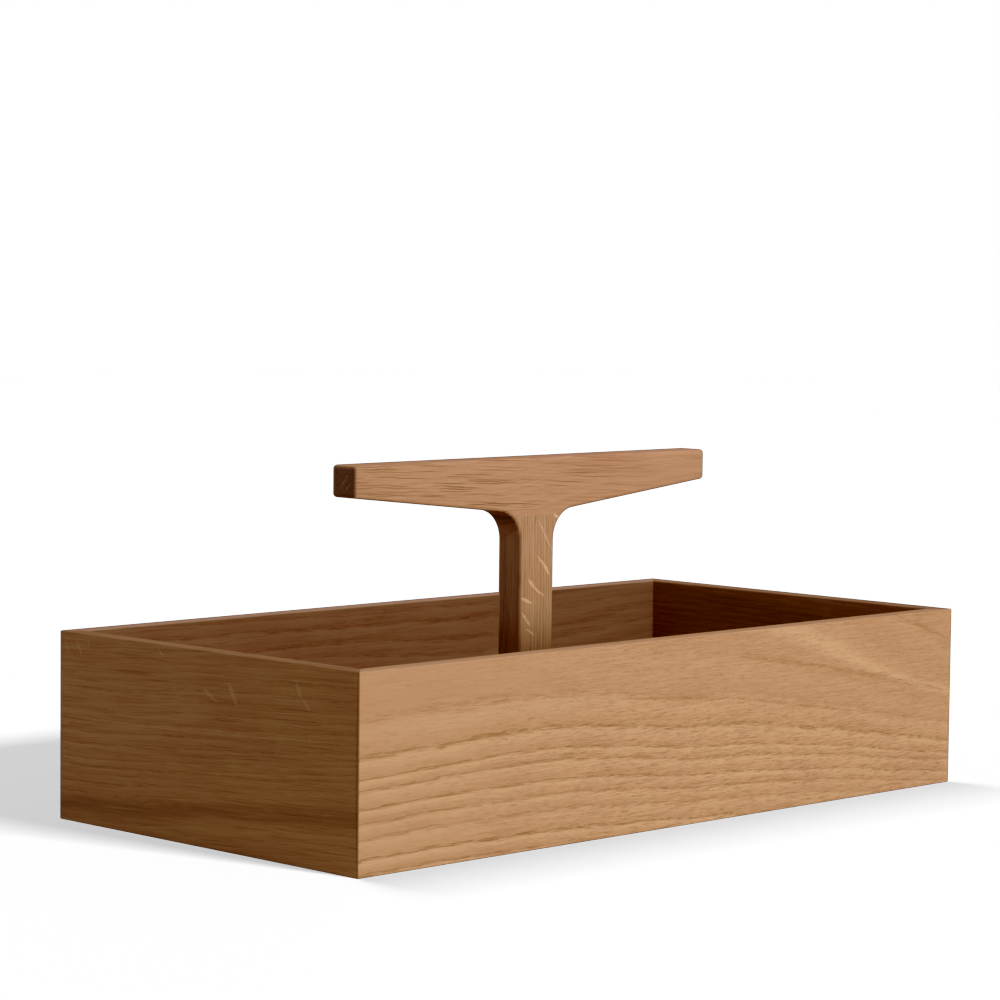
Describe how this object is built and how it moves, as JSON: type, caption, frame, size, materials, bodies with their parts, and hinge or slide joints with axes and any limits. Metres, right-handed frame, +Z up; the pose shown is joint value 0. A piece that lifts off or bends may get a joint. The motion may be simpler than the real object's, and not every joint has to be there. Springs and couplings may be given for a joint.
{
  "type": "tool box",
  "caption": "Open rectangular oak tool box with mitred walls, a grooved bottom board and a T shaped carrying handle: a tapered bar on a central post.",
  "frame": {"origin": "middle of the footprint, on the surface the box stands on", "axes": "+X along the box, +Y across it from the front wall to the back wall, +Z up"},
  "size_m": [0.36, 0.182, 0.148],
  "materials": {
    "wall_oak": "matt oiled oak, long grain along each wall",
    "bottom_oak": "matt oiled oak, grain along the box",
    "handle_oak": "matt oiled oak, grain along the bar and up the post",
    "joint_beech": "plain beech, unfinished",
    "screw_steel": "bright zinc plated steel"
  },
  "bodies": {
    "root": {"front_wall": "wall_oak", "back_wall": "wall_oak", "left_wall": "wall_oak", "right_wall": "wall_oak", "bottom_board": "bottom_oak", "handle_bar": "handle_oak", "handle_post": "handle_oak", "handle_dowels": "joint_beech", "mitre_tongue_front_left": "joint_beech", "mitre_tongue_front_right": "joint_beech", "mitre_tongue_back_right": "joint_beech", "mitre_tongue_back_left": "joint_beech", "post_screws": "screw_steel"}
  },
  "joints": []
}
